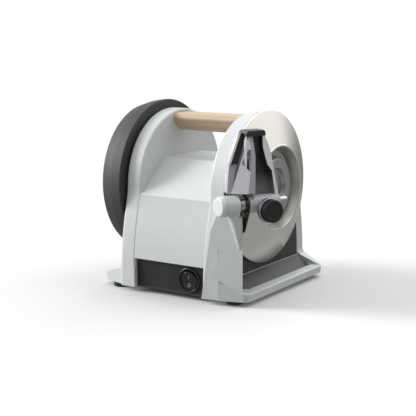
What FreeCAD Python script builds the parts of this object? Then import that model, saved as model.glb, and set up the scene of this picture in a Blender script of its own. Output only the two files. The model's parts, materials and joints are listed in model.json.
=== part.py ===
"""Bench knife sharpener with a diamond wheel, a honing wheel and a tilting knife guide.

Millimetres, +Z up.  The model is laid out about the machine: X runs along the axle,
with X = 0 at the diamond wheel's outer rim and -X towards the honing wheel, Y = 0 is
the axle's plane with -Y at the switch side, and Z = 0 is the underside of the castings.
At the end every piece is shifted so that the origin is the centre of the footprint at
the soles of the feet.  Each node is one STEP file in parts/.
"""
import FreeCAD, Part
import math
import os

Vector = FreeCAD.Vector

# --- machine -------------------------------------------------------------------------
AXLE_Z = 97.0
FOOT_DROP = 5.0
SHAFT_R = 6.0
RUN_GAP = 0.05

# --- castings ------------------------------------------------------------------------
ARCH_R = 72.0
LEG_Y = 84.5
LEFT_X = (-118.0, -100.0)
RIGHT_X = (-21.0, -4.0)
WALL = 4.0
BAND = 5.0
RIM_BAND = 14.0
BOSS_R = 18.0
BEARING_R = 13.0
SHAFT_HOLE_R = 8.0
WING_TIP_X = -146.0
RIM_X = 24.0
FLANGE_Z = 7.2
RAMP_Z = 16.0
END_Y = 70.0

# --- hood, panels and base -----------------------------------------------------------
HOOD_TOP_Z = 122.5
HOOD_WALL = 3.0
HOOD_STEP = 0.4
PANEL_Z = 28.5
PANEL_Y = 79.5
PANEL_T = 2.5
BASE_T = 2.0

# --- wheels --------------------------------------------------------------------------
WHEEL_R = 75.0
DISH_R = 41.5
DISH_X = 15.0
NUT_R = 29.0
NUT_RIBS = 36
HONE_R = 80.5
HONE_X = (-147.0, -119.5)

# --- handle --------------------------------------------------------------------------
HANDLE_TOP_Z = 165.2
HANDLE_LOW_Z = 147.5

# --- knife guide ---------------------------------------------------------------------
GUIDE_TURN = 24.2
GUIDE_AXIS_D = 12.5
GUIDE_AXIS_Z = 91.0
GUIDE_SHAFT_R = 4.0
BOSS_OUT_R = 9.5
BOSS_A = (-13.0, 1.5)
POINTER_A = (9.4, 12.4)
TONGUE_A = 11.1
NEEDLE_A = (14.7, 15.5)
FACET_T = 1.6
HUB_A = (13.0, 47.0)
HUB_R = 8.5
SHAFT_END_A = 58.0
RIDGE_WALL = 2.0
KNOB_A = 29.8
KNOB_Z = 85.8
KNOB_R = 10.75
KNOB_D = (27.8, 34.0)
COLLAR_D = (24.0, 27.5)
KNOB_FLUTES = 24
FLUTE_R = 1.0
FLUTE_OUT = 0.6

# --- drive ---------------------------------------------------------------------------
MODULE = 1.0
PRESSURE = math.radians(25.0)
BACKLASH = 0.16
BIG_TEETH = 40
SMALL_TEETH = 14
GEAR_STEP = MODULE * (BIG_TEETH + SMALL_TEETH) / 2.0
LAY_TURN = math.radians(-45.0)
MOTOR_TURN = math.radians(-144.6)
LAY_Y = GEAR_STEP * math.cos(LAY_TURN)
LAY_Z = AXLE_Z + GEAR_STEP * math.sin(LAY_TURN)
MOTOR_Y = LAY_Y + GEAR_STEP * math.cos(MOTOR_TURN)
MOTOR_Z = LAY_Z + GEAR_STEP * math.sin(MOTOR_TURN)
LAY_SHAFT_R = 3.0
MOTOR_SHAFT_R = 2.5
MOTOR_R = 18.0

# --- switch and inlet ----------------------------------------------------------------
SWITCH_X = -38.0
SWITCH_Z = 14.2
ROCKER_TILT = 8.0
INLET_X = -75.0
INLET_Z = 14.2

FEET_XY = [(-127.0, -70.0), (-127.0, 70.0), (5.0, -68.0), (5.0, 68.0)]


# --- building helpers ----------------------------------------------------------------
def block(x0, x1, y0, y1, z0, z1):
    return Part.makeBox(x1 - x0, y1 - y0, z1 - z0, Vector(x0, y0, z0))


def disc(x0, x1, radius, y=0.0, z=AXLE_Z):
    """A cylinder along X."""
    return Part.makeCylinder(radius, x1 - x0, Vector(x0, y, z), Vector(1, 0, 0))


def tube(x0, x1, outer, inner, y=0.0, z=AXLE_Z):
    return disc(x0, x1, outer, y, z).cut(disc(x0 - 1, x1 + 1, inner, y, z))


def stud(x, y, z0, z1, radius):
    """A cylinder along Z."""
    return Part.makeCylinder(radius, z1 - z0, Vector(x, y, z0))


def pin_y(x, z, y0, y1, radius):
    """A cylinder along Y."""
    return Part.makeCylinder(radius, y1 - y0, Vector(x, y0, z), Vector(0, 1, 0))


def face_of(points):
    return Part.Face(Part.makePolygon(points + [points[0]]))


def prism_x(yz, x0, x1):
    return face_of([Vector(x0, y, z) for y, z in yz]).extrude(Vector(x1 - x0, 0, 0))


def prism_y(xz, y0, y1):
    return face_of([Vector(x, y0, z) for x, z in xz]).extrude(Vector(0, y1 - y0, 0))


def prism_z(xy, z0, z1):
    return face_of([Vector(x, y, z0) for x, y in xy]).extrude(Vector(0, 0, z1 - z0))


def spin_x(xr):
    """A solid of revolution about the axle, from points (x, radius)."""
    profile = face_of([Vector(x, 0, AXLE_Z + r) for x, r in xr])
    return profile.revolve(Vector(0, 0, AXLE_Z), Vector(1, 0, 0), 360)


def joined(shapes):
    return shapes[0].fuse(shapes[1:]).removeSplitter()


def both_sides(points):
    """The points and their mirror images across Y = 0, as one closed outline."""
    return points + [(-y, z) for y, z in reversed(points)]


def mirrored(shape):
    return shape.mirror(Vector(0, 0, 0), Vector(0, 1, 0))


def grouped(shapes):
    return Part.makeCompound(shapes)


def edges_at(shape, test):
    return [edge for edge in shape.Edges if test(edge.BoundBox)]


# --- castings ------------------------------------------------------------------------
def side_face(x, inset, floor_z):
    """The arch seen along X: a half circle over two legs that spread towards the base."""
    radius = ARCH_R - inset
    foot = LEG_Y - inset
    left_leg = Part.BezierCurve()
    left_leg.setPoles([
        Vector(x, -foot, floor_z),
        Vector(x, -foot, 58),
        Vector(x, -radius - 1.5, 78),
        Vector(x, -radius, AXLE_Z),
    ])
    right_leg = Part.BezierCurve()
    right_leg.setPoles([
        Vector(x, radius, AXLE_Z),
        Vector(x, radius + 1.5, 78),
        Vector(x, foot, 58),
        Vector(x, foot, floor_z),
    ])
    crown = Part.Arc(
        Vector(x, -radius, AXLE_Z), Vector(x, 0, AXLE_Z + radius), Vector(x, radius, AXLE_Z)
    )
    sill = Part.LineSegment(Vector(x, foot, floor_z), Vector(x, -foot, floor_z))
    edges = [curve.toShape() for curve in (left_leg, crown, right_leg, sill)]
    return Part.Face(Part.Wire(edges))


def side_slab(x0, x1, inset, floor_z):
    return side_face(x0, inset, floor_z).extrude(Vector(x1 - x0, 0, 0))


def arch(x0, x1, web, pocket, inset, bore_x, shaft_x, rounds):
    """One cast side: a band around a web, with a bearing boss in the middle."""
    body = side_slab(x0, x1, 0.0, 0.0)
    body = body.makeFillet(rounds[0], edges_at(body, lambda b: b.XMax < x0 + 0.01 and b.ZMax > 90))
    body = body.makeFillet(rounds[1], edges_at(body, lambda b: b.XMin > x1 - 0.01 and b.ZMax > 90))
    body = body.cut(side_slab(pocket[0], pocket[1], inset, RAMP_Z))
    body = body.fuse(disc(min(web + pocket), max(web + pocket), BOSS_R))
    body = body.cut(disc(bore_x[0], bore_x[1], BEARING_R))
    return body.cut(disc(shaft_x[0], shaft_x[1], SHAFT_HOLE_R))


def wing_plan():
    return [
        (WING_TIP_X + 4, -74), (WING_TIP_X, -70), (WING_TIP_X, 70), (WING_TIP_X + 4, 74),
        (-105, LEG_Y), (LEFT_X[1], LEG_Y), (LEFT_X[1], -LEG_Y), (-105, -LEG_Y),
    ]


def left_frame():
    """Cast side under the honing wheel, with a low wing that widens the base."""
    x0, x1 = LEFT_X
    web, pocket = (x1 - WALL, x1), (x0, x1 - WALL)
    body = arch(x0, x1, web, pocket, BAND, (x0 + 4, -104.0), (x0, x1), (4.0, 2.2))
    ramp = [
        (WING_TIP_X, 0), (WING_TIP_X, 6.5), (x0 - 2, RAMP_Z), (x0, RAMP_Z + 3),
        (x1, RAMP_Z + 3), (x1, 0),
    ]
    wing = prism_y(ramp, -LEG_Y, LEG_Y).common(prism_z(wing_plan(), 0, 40))
    wing = wing.cut(block(WING_TIP_X, x0, -END_Y, END_Y, 8.0, 40))
    wing = wing.cut(block(x0, x1, -END_Y, END_Y, 8.0, 40))
    wing = wing.cut(block(-141, x1, -66, 66, 0, 4.5))
    body = body.cut(block(x0, x1, -66, 66, 0, 4.5))
    return joined([body, wing])


def post_sections():
    """Level cuts through the guide's post: front edge's ends, rear right corner, rear Y, height."""
    return [
        ((-20.6, -86.0), (19.2, -76.9), (14.0, -68.6), -78.5, 0.0),
        ((-12.6, -82.4), (19.0, -77.2), (14.0, -69.2), -77.6, 66.0),
        ((-7.0, -81.2), (18.8, -77.4), (14.0, -69.6), -77.4, 79.5),
    ]


def level_loft(sections):
    """A solid through closed outlines, each given as its points and a height."""
    wires = []
    for points, z in sections:
        wires.append(Part.makePolygon([Vector(x, y, z) for x, y in points + [points[0]]]))
    return Part.makeLoft(wires, True, True)


def post():
    return level_loft([
        ([left, right, rear, (-3.0, rear_y), (left[0], rear_y)], z)
        for left, right, rear, rear_y, z in post_sections()
    ])


def space_before_post():
    """The room in front of the post's face, which the cast side leaves free."""
    reach = 20.0
    return level_loft([
        ([left, right, (right[0], right[1] - reach), (left[0], left[1] - reach)], z)
        for left, right, _, _, z in post_sections()
    ])


def right_frame():
    """Cast side behind the diamond wheel."""
    x0, x1 = RIGHT_X
    web, pocket = (x0, x0 + WALL), (x0 + WALL, x1)
    body = arch(x0, x1, web, pocket, RIM_BAND, (-17.0, -7.0), (x0, x1), (2.6, 1.6))
    body = body.cut(block(-7.0, x1, -BOSS_R, BOSS_R, AXLE_Z - BOSS_R, AXLE_Z + BOSS_R))
    body = body.cut(space_before_post())
    return body.cut(block(x0, x1, -66, 66, 0, 4.5))


def at_guide(shape):
    """Move a shape from guide axes (out from the wheel, along the hinge, up) to the machine."""
    turned = shape.copy()
    turned.rotate(Vector(0, 0, 0), Vector(0, 0, 1), -GUIDE_TURN)
    turned.translate(Vector(0, -WHEEL_R, 0))
    return turned


def hinge_rod(a0, a1, radius):
    """A cylinder on the guide's hinge axis, in guide axes."""
    start = Vector(GUIDE_AXIS_D, a0, GUIDE_AXIS_Z)
    return Part.makeCylinder(radius, a1 - a0, start, Vector(0, 1, 0))


def knob_rod(d0, d1, radius):
    """A cylinder on the knob's axis, in guide axes."""
    return Part.makeCylinder(radius, d1 - d0, Vector(d0, KNOB_A, KNOB_Z), Vector(1, 0, 0))


def neck():
    """Round column that runs out of the post's face into the hinge boss, in guide axes."""
    rings = []
    for d, a, z, radius in [(15.2, 5.2, 50.0, 1.8), (12.0, 0.4, 84.0, 7.0), (12.0, 0.4, 91.0, 7.1)]:
        circle = Part.makeCircle(radius, Vector(d, a, z), Vector(0, 0, 1))
        rings.append(Part.Wire([circle]))
    return Part.makeLoft(rings, True, True)


def guide_base():
    """Right-hand base rim around the tray, with the post that carries the knife guide."""
    x0 = RIGHT_X[1]
    plan = [
        (x0, -84.0), (19.6, -76.8), (RIM_X - 1.2, -73.5), (RIM_X, -69.5),
        (RIM_X, 69.5), (RIM_X - 1.2, 73.5), (19.6, 76.8), (x0, 84.0),
    ]
    ramp = [
        (x0, 0), (x0, RAMP_Z + 3), (x0 + 2, RAMP_Z), (RIM_X, FLANGE_Z - 0.7), (RIM_X, 0),
    ]
    rim = prism_y(ramp, -LEG_Y, LEG_Y).common(prism_z(plan, 0, 40))
    rim = rim.cut(block(x0, RIM_X, -END_Y - 2, END_Y + 2, FLANGE_Z, 40))
    rim = rim.cut(block(x0, 13.0, -56.0, END_Y, -1, 40))
    rim = rim.cut(block(x0, 21.0, -66.0, END_Y, -1, 3.0))
    boss = hinge_rod(BOSS_A[0], BOSS_A[1], BOSS_OUT_R)
    clear = guide_slab([(BOSS_A[1], 80.5), (BOSS_A[1], 110.0), (30.0, 110.0), (30.0, 80.5)], -5.0, 40.0)
    carrier = joined([post(), at_guide(neck().cut(clear)), at_guide(boss)])
    carrier = carrier.cut(at_guide(hinge_rod(BOSS_A[0] - 1, BOSS_A[1] + 1, GUIDE_SHAFT_R)))
    carrier = carrier.cut(side_slab(RIGHT_X[0] - 5, x0, 0.0, 0.0))
    return joined([rim, carrier])


# --- hood, panels, base --------------------------------------------------------------
def hood_solid(inset):
    """Walls that follow the cast sides, a sloping ledge, and a roof that slopes both ways."""
    x0, x1 = LEFT_X[1], RIGHT_X[0]
    roof = prism_x(both_sides([
        (-LEG_Y, PANEL_Z),
        (-LEG_Y, 81.3 - inset * 1.26),
        (-65.4 + inset, 96.0 - inset * 0.3),
        (-33.0 + inset * 0.4, HOOD_TOP_Z - inset),
    ]), x0, x1)
    return side_slab(x0, x1, HOOD_STEP + inset, 0.0).common(roof)


def centre_hood():
    """Cover over the motor and gears, between the two cast sides."""
    body = hood_solid(0.0)
    long_edges = edges_at(body, lambda b: b.XLength > 50 and b.ZMin > 89)
    body = body.makeFillet(1.3, long_edges)
    return body.cut(hood_solid(HOOD_WALL))


def panel_blank():
    """A panel under the hood, at the switch side; its mirror image closes the rear."""
    x0, x1 = LEFT_X[1], RIGHT_X[0]
    plate = block(x0, x1, -PANEL_Y, -PANEL_Y + PANEL_T, BASE_T, PANEL_Z)
    lip = block(x0, x1, -PANEL_Y + PANEL_T, -PANEL_Y + PANEL_T + 6, BASE_T, BASE_T + 2)
    return plate.fuse(lip).removeSplitter()


def front_panel():
    return panel_blank().cut(pin_y(SWITCH_X, SWITCH_Z, -90, -60, 10.6))


def rear_panel():
    slot = block(INLET_X - 14.2, INLET_X + 14.2, 60, 90, INLET_Z - 10.2, INLET_Z + 10.2)
    return mirrored(panel_blank()).cut(slot)


def base_plate():
    """Sheet that closes the underside between the castings."""
    x0, x1 = LEFT_X[1], RIGHT_X[0]
    sheet = block(x0, x1, -PANEL_Y, PANEL_Y, 0, BASE_T)
    vents = [block(x, x + 3, -40, 40, -1, BASE_T + 1) for x in range(-84, -36, 8)]
    return sheet.cut(grouped(vents))


def splash_plate():
    """Sheet behind the diamond wheel, let into the right-hand casting."""
    plate = side_slab(-6.0, -4.4, RIM_BAND + 0.1, RAMP_Z + 0.1)
    return plate.cut(disc(-7, 0, SHAFT_HOLE_R))


def inner_plate():
    """Sheet that closes the left-hand casting behind the honing wheel."""
    x0 = LEFT_X[0] + 0.2
    plate = side_slab(x0, x0 + 1.6, BAND + 0.1, RAMP_Z + 0.1)
    plate = plate.cut(block(x0 - 1, x0 + 3, END_Y - 0.1, LEG_Y, 0, RAMP_Z + 3.1))
    plate = plate.cut(block(x0 - 1, x0 + 3, -LEG_Y, -END_Y + 0.1, 0, RAMP_Z + 3.1))
    return plate.cut(disc(x0 - 1, x0 + 3, BOSS_R + 0.1))


def dust_tray():
    """Tray that catches the grinding dust: a sloping floor with a raised back edge."""
    floor = [
        (-3.9, 12.6), (-3.9, 15.2), (-2.6, 15.4), (12.8, 4.6), (12.8, 3.2), (11.6, 3.2),
    ]
    return prism_y(floor, -55.8, END_Y - 0.2)


def carry_handle():
    """Beech bar between the two arches, narrower towards the fingers."""
    outline = both_sides([
        (-13.0, HANDLE_TOP_Z), (-17.4, 160.8), (-11.6, 153.0), (-4.6, HANDLE_LOW_Z),
    ])
    bar = prism_x(outline, LEFT_X[1], RIGHT_X[0])
    return bar.makeFillet(2.6, edges_at(bar, lambda b: b.XLength > 50))


def handle_screws():
    """Two screws that hold the handle, one through each arch web."""
    left = disc(LEFT_X[1] - WALL - 3.0, LEFT_X[1] - WALL, 3.0, 0.0, 151.5)
    right = disc(RIGHT_X[0] + WALL, RIGHT_X[0] + WALL + 3.0, 3.0, 0.0, 151.5)
    return grouped([left, right])


def feet():
    pads = []
    for x, y in FEET_XY:
        pad = stud(x, y, -FOOT_DROP, 0, 7.5)
        pad = pad.makeFillet(1.2, edges_at(pad, lambda b: b.ZMax < -FOOT_DROP + 0.1))
        pads.append(pad.cut(stud(x, y, -FOOT_DROP - 1, -2.4, 3.4)))
    return grouped(pads)


def foot_screws():
    return grouped([stud(x, y, -4.4, -2.4, 2.8) for x, y in FEET_XY])


# --- electrics -----------------------------------------------------------------------
def switch_bezel():
    y = -PANEL_Y
    flange = pin_y(SWITCH_X, SWITCH_Z, y - 1.8, y, 12.2)
    flange = flange.makeFillet(0.9, edges_at(flange, lambda b: b.YMax < y - 1.7))
    barrel = pin_y(SWITCH_X, SWITCH_Z, y, y + 12, 10.6)
    well = pin_y(SWITCH_X, SWITCH_Z, y - 3, y + 8, 10.0)
    return joined([flange, barrel]).cut(well)


def rocker_key():
    """Round rocker, stored with its lower half pressed in."""
    y = -PANEL_Y
    key = pin_y(SWITCH_X, SWITCH_Z, y - 2.6, y + 3.0, 9.0)
    hollow = [
        Vector(SWITCH_X - 12, y - 2.7, SWITCH_Z + 8),
        Vector(SWITCH_X - 12, y - 1.2, SWITCH_Z),
        Vector(SWITCH_X - 12, y - 2.7, SWITCH_Z - 8),
    ]
    bow = Part.Arc(hollow[0], hollow[1], hollow[2]).toShape()
    chord = Part.LineSegment(hollow[2], hollow[0]).toShape()
    scoop = Part.Face(Part.Wire([bow, chord])).extrude(Vector(24, 0, 0))
    key = key.cut(scoop)
    key.rotate(Vector(SWITCH_X, y + 0.5, SWITCH_Z), Vector(1, 0, 0), ROCKER_TILT)
    return key


def power_inlet():
    """Three-pin mains inlet in the rear panel."""
    y = PANEL_Y
    flange = block(INLET_X - 15.5, INLET_X + 15.5, y, y + 2.2, INLET_Z - 11.4, INLET_Z + 11.4)
    flange = flange.makeFillet(2.0, edges_at(flange, lambda b: b.YLength > 2 and b.ZLength < 0.1))
    body = block(INLET_X - 14.2, INLET_X + 14.2, y - 20, y, INLET_Z - 10.2, INLET_Z + 10.2)
    well = block(INLET_X - 12.2, INLET_X + 12.2, y - 15, y + 3, INLET_Z - 8.3, INLET_Z + 8.3)
    return joined([flange, body]).cut(well)


def inlet_pins():
    places = [(-7.0, 2.4), (7.0, 2.4), (0.0, 6.0)]
    y = PANEL_Y
    return grouped([
        block(INLET_X + x - 1, INLET_X + x + 1, y - 15, y - 2, INLET_Z + z - 2, INLET_Z + z + 2)
        for x, z in places
    ])


def control_board():
    board = block(-96, -60, -60, -58.4, 34, 60)
    parts = [
        block(-92, -82, -58.4, -46, 38, 50),
        block(-78, -70, -58.4, -50, 40, 56),
        block(-68, -63, -58.4, -53, 37, 47),
    ]
    return joined([board] + parts)


# --- wheels and spindle --------------------------------------------------------------
def spindle():
    rod = disc(-151.0, 8.0, SHAFT_R)
    collar = disc(-99.8, -97.8, 8.5)
    return joined([rod, collar])


def diamond_wheel():
    """Dished steel disc with a conical grinding face and a recessed centre."""
    return spin_x([
        (-3.0, 71.5), (-3.0, WHEEL_R), (0.0, WHEEL_R), (14.5, DISH_R + 0.9),
        (DISH_X + 0.3, DISH_R), (DISH_X, DISH_R - 1.6), (3.0, 36.5), (3.0, 31.0),
        (1.6, 30.0), (1.6, SHAFT_R), (-1.4, SHAFT_R), (-1.4, 38.4), (10.8, 42.0),
    ])


def wheel_flange():
    return tube(-3.8, -1.4, 16.0, SHAFT_R)


def wheel_lock_nut():
    """Ribbed hand nut that clamps the diamond wheel from inside its dish."""
    nut = disc(1.6, 10.6, NUT_R)
    nut = nut.makeFillet(1.2, edges_at(nut, lambda b: b.XMin > 10.5))
    nut = nut.cut(disc(6.0, 12.0, 19.0))
    for index in range(NUT_RIBS):
        turn = 2 * math.pi * index / NUT_RIBS
        y = (NUT_R + 0.8) * math.cos(turn)
        z = AXLE_Z + (NUT_R + 0.8) * math.sin(turn)
        nut = nut.cut(disc(1.0, 12.0, 1.7, y, z))
    return nut.cut(disc(0.0, 12.0, SHAFT_R))


def honing_wheel():
    """Thick tapered honing disc with a shallow recess on each face."""
    x0, x1 = HONE_X
    return spin_x([
        (x1, 52.0), (x1, HONE_R - 1.5), (x1 - 1.5, HONE_R), (x1 - 12, HONE_R - 1.6),
        (x0 + 3.0, HONE_R - 5.6), (x0 + 0.9, HONE_R - 6.8), (x0, HONE_R - 9.0),
        (x0, 30.0), (x0 + 2.0, 28.5), (x0 + 2.0, SHAFT_R),
        (x1 - 1.5, SHAFT_R), (x1 - 1.5, 50.0),
    ])


def honing_flanges():
    outer = tube(HONE_X[0] - 0.8, HONE_X[0] + 2.0, 26.0, SHAFT_R)
    outer = outer.makeFillet(0.7, edges_at(outer, lambda b: b.XMax < HONE_X[0] - 0.7 and b.YLength > 40))
    inner = tube(HONE_X[1] - 1.5, HONE_X[1] + 0.8, 22.0, SHAFT_R)
    return grouped([outer, inner])


def honing_nut():
    x1 = HONE_X[0] - 0.8
    corners = []
    for index in range(6):
        turn = math.pi * index / 3
        corners.append((11.0 * math.cos(turn), AXLE_Z + 11.0 * math.sin(turn)))
    return prism_x(corners, x1 - 5.0, x1).cut(disc(x1 - 6, x1 + 1, SHAFT_R))


def bearing_left():
    return tube(-114.0, -104.0, BEARING_R, SHAFT_R + RUN_GAP)


def bearing_right():
    return tube(-17.0, -7.0, BEARING_R, SHAFT_R + RUN_GAP)


# --- gears ---------------------------------------------------------------------------
def involute(angle):
    return math.tan(angle) - angle


def polar(radius, angle):
    return Vector(radius * math.cos(angle), radius * math.sin(angle), 0)


def gear_wire(teeth, phase):
    """Involute gear outline in the XY plane, with one tooth centred on the phase angle."""
    pitch = MODULE * teeth / 2.0
    base = pitch * math.cos(PRESSURE)
    tip = pitch + 0.92 * MODULE
    root = pitch - 1.25 * MODULE
    half_pitch = (math.pi * MODULE / 2.0 - BACKLASH) / (2.0 * pitch)
    start = max(base, root)
    steps = 5

    def half_angle(radius):
        return half_pitch + involute(PRESSURE) - involute(math.acos(min(1.0, base / radius)))

    radii = [start + (tip - start) * step / steps for step in range(steps + 1)]
    edges = []
    for index in range(teeth):
        middle = phase + 2 * math.pi * index / teeth
        rise = [polar(r, middle - half_angle(r)) for r in radii]
        fall = [polar(r, middle + half_angle(r)) for r in reversed(radii)]
        low_rise = polar(root, middle - half_angle(start))
        low_fall = polar(root, middle + half_angle(start))
        next_low = polar(root, middle + 2 * math.pi / teeth - half_angle(start))
        flank_up = Part.BSplineCurve()
        flank_up.interpolate(rise)
        flank_down = Part.BSplineCurve()
        flank_down.interpolate(fall)
        if start > root:
            edges.append(Part.LineSegment(low_rise, rise[0]).toShape())
        edges.append(flank_up.toShape())
        edges.append(Part.Arc(rise[-1], polar(tip, middle), fall[0]).toShape())
        edges.append(flank_down.toShape())
        if start > root:
            edges.append(Part.LineSegment(fall[-1], low_fall).toShape())
        valley = polar(root, middle + math.pi / teeth)
        edges.append(Part.Arc(low_fall, valley, next_low).toShape())
    return Part.Wire(edges)


def gear(teeth, phase, x0, x1, bore, y, z):
    blank = Part.Face(gear_wire(teeth, phase)).extrude(Vector(0, 0, x1 - x0))
    blank = blank.cut(Part.makeCylinder(bore, x1 - x0, Vector(0, 0, 0)))
    blank.rotate(Vector(0, 0, 0), Vector(1, 1, 1), 120)
    blank.translate(Vector(x0, y, z))
    return blank


def output_gear():
    return gear(BIG_TEETH, LAY_TURN, -36.0, -29.0, SHAFT_R, 0.0, AXLE_Z)


def layshaft_pinion():
    phase = LAY_TURN + math.pi + math.pi / SMALL_TEETH
    return gear(SMALL_TEETH, phase, -38.0, -28.0, LAY_SHAFT_R, LAY_Y, LAY_Z)


def layshaft_gear():
    return gear(BIG_TEETH, MOTOR_TURN, -46.0, -41.0, LAY_SHAFT_R, LAY_Y, LAY_Z)


def layshaft():
    return disc(-50.5, -23.5, LAY_SHAFT_R, LAY_Y, LAY_Z)


def layshaft_bushes():
    left = tube(-51.5, -47.0, 5.5, LAY_SHAFT_R + RUN_GAP, LAY_Y, LAY_Z)
    right = tube(-27.0, -22.5, 5.5, LAY_SHAFT_R + RUN_GAP, LAY_Y, LAY_Z)
    return grouped([left, right])


def motor_pinion():
    phase = MOTOR_TURN + math.pi + math.pi / SMALL_TEETH
    return gear(SMALL_TEETH, phase, -46.5, -40.5, MOTOR_SHAFT_R, MOTOR_Y, MOTOR_Z)


def motor_rotor():
    shaft = disc(-94.5, -40.0, MOTOR_SHAFT_R, MOTOR_Y, MOTOR_Z)
    core = disc(-88.0, -60.0, 12.0, MOTOR_Y, MOTOR_Z)
    commutator = disc(-92.0, -88.0, 6.0, MOTOR_Y, MOTOR_Z)
    return joined([shaft, core, commutator])


def motor_can():
    shell = disc(-93.0, -51.0, MOTOR_R, MOTOR_Y, MOTOR_Z)
    shell = shell.cut(disc(-93.0, -53.5, 15.0, MOTOR_Y, MOTOR_Z))
    return shell.cut(disc(-54, -50, MOTOR_SHAFT_R + RUN_GAP, MOTOR_Y, MOTOR_Z))


def motor_magnets():
    ring = tube(-88.0, -60.0, 15.0, 12.6, MOTOR_Y, MOTOR_Z)
    gap_z = block(-89, -59, MOTOR_Y - 3, MOTOR_Y + 3, MOTOR_Z - 16, MOTOR_Z + 16)
    return ring.cut(gap_z)


def motor_end_cap():
    cap = disc(-96.0, -93.0, MOTOR_R, MOTOR_Y, MOTOR_Z)
    return cap.cut(disc(-95.0, -92.0, MOTOR_SHAFT_R + RUN_GAP, MOTOR_Y, MOTOR_Z))


def gearbox_outline(x0, x1):
    return prism_x([(-30, 40), (46, 40), (46, 96), (32, 113), (-30, 113)], x0, x1)


def gearbox_plate_left():
    """Plate that carries the motor and one end of the layshaft."""
    plate = gearbox_outline(-51.0, -48.0)
    plate = plate.cut(disc(-52, -47, 10.0))
    plate = plate.cut(disc(-52, -47, 5.5, LAY_Y, LAY_Z))
    return plate.cut(disc(-52, -47, 6.5, MOTOR_Y, MOTOR_Z))


def gearbox_plate_right():
    plate = gearbox_outline(-26.5, -24.0)
    plate = plate.cut(disc(-28, -23, 10.0))
    return plate.cut(disc(-28, -23, 5.5, LAY_Y, LAY_Z))


def gearbox_pillars():
    """Spacers between the two gearbox plates, and on to the right-hand casting."""
    pillars = []
    for y, z in [(-26, 44), (42, 44), (-26, 109), (30, 109)]:
        pillars.append(disc(-48.0, -26.5, 3.0, y, z))
        pillars.append(disc(-24.0, RIGHT_X[0], 3.0, y, z))
    return grouped(pillars)


# --- knife guide ---------------------------------------------------------------------
def guide_shaft():
    return at_guide(hinge_rod(BOSS_A[0], SHAFT_END_A, GUIDE_SHAFT_R))


def shaft_cap():
    cap = hinge_rod(BOSS_A[0] - 5.0, BOSS_A[0], BOSS_OUT_R - 0.3)
    rim = edges_at(cap, lambda b: b.YMax < BOSS_A[0] - 4.9)
    return at_guide(cap.makeFillet(3.4, rim))


def thrust_washers():
    first = hinge_rod(BOSS_A[1], BOSS_A[1] + 1.6, 7.4).cut(
        hinge_rod(BOSS_A[1] - 1, BOSS_A[1] + 3, GUIDE_SHAFT_R))
    second = hinge_rod(BOSS_A[1] + 3.0, POINTER_A[0], 6.4).cut(
        hinge_rod(BOSS_A[1], POINTER_A[0] + 1, GUIDE_SHAFT_R))
    return at_guide(grouped([first, second]))


def shaft_nut():
    nut = hinge_rod(HUB_A[1] + 0.3, HUB_A[1] + 2.3, 5.6)
    return at_guide(nut.cut(hinge_rod(HUB_A[1], HUB_A[1] + 4, GUIDE_SHAFT_R)))


def angle_pointer():
    """Fixed pointer on the shaft: a needle up to the scale and a tongue below."""
    a0, a1 = POINTER_A
    ring = hinge_rod(a0, a1, 7.6)
    tongue = face_of([Vector(d, TONGUE_A, z) for d, z in [
        (5.6, 88.0), (6.4, 76.0), (9.0, 66.0), (11.0, 64.0), (13.0, 65.6), (20.0, 84.0), (19.4, 90.0),
    ]]).extrude(Vector(0, a1 - TONGUE_A, 0))
    foot = guide_slab([(a0, 95.0), (a0, 101.2), (NEEDLE_A[1], 101.2), (NEEDLE_A[1], 99.9),
                       (a1, 99.9), (a1, 95.0)], 11.3, 13.7)
    needle = face_of([Vector(d, NEEDLE_A[0], z) for d, z in [
        (11.3, 99.9), (12.0, 131.0), (12.5, 133.5), (13.0, 131.0), (13.7, 99.9),
    ]]).extrude(Vector(0, NEEDLE_A[1] - NEEDLE_A[0], 0))
    whole = joined([ring, tongue, foot, needle])
    return at_guide(whole.cut(hinge_rod(a0 - 1, a1 + 1, GUIDE_SHAFT_R)))


def guide_slab(az, d0, d1):
    """An outline in the plane of the guide, given as (along hinge, up), with a thickness."""
    return face_of([Vector(d0, a, z) for a, z in az]).extrude(Vector(d1 - d0, 0, 0))


def ridge_limits(inset):
    """The guide's side view: how far its central ridge stands out at each height."""
    outline = [
        (6.5, 97.0), (21.0 - inset, 97.0), (20.8 - inset, 136.0), (16.0 - inset, 154.0), (6.5, 154.0),
    ]
    return face_of([Vector(d, -20, z) for d, z in outline]).extrude(Vector(0, 90, 0))


def guide_facet():
    """The slanting left face of the guide, with the scale window."""
    foot, heel, head = Vector(10.8, -2.5, 101.8), Vector(21.0, 10.4, 101.8), Vector(17.2, 12.4, 154.0)
    normal = (heel - foot).cross(head - foot)
    normal.normalize()
    outline = [foot, heel]
    for a, z in [(12.6, 120.0), (14.0, 140.0)]:
        rest = normal.y * (a - foot.y) + normal.z * (z - foot.z)
        outline.append(Vector(foot.x - rest / normal.x, a, z))
    outline.append(head)
    inward = normal * (FACET_T if normal.x < 0 else -FACET_T)
    return face_of(outline).extrude(inward)


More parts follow.
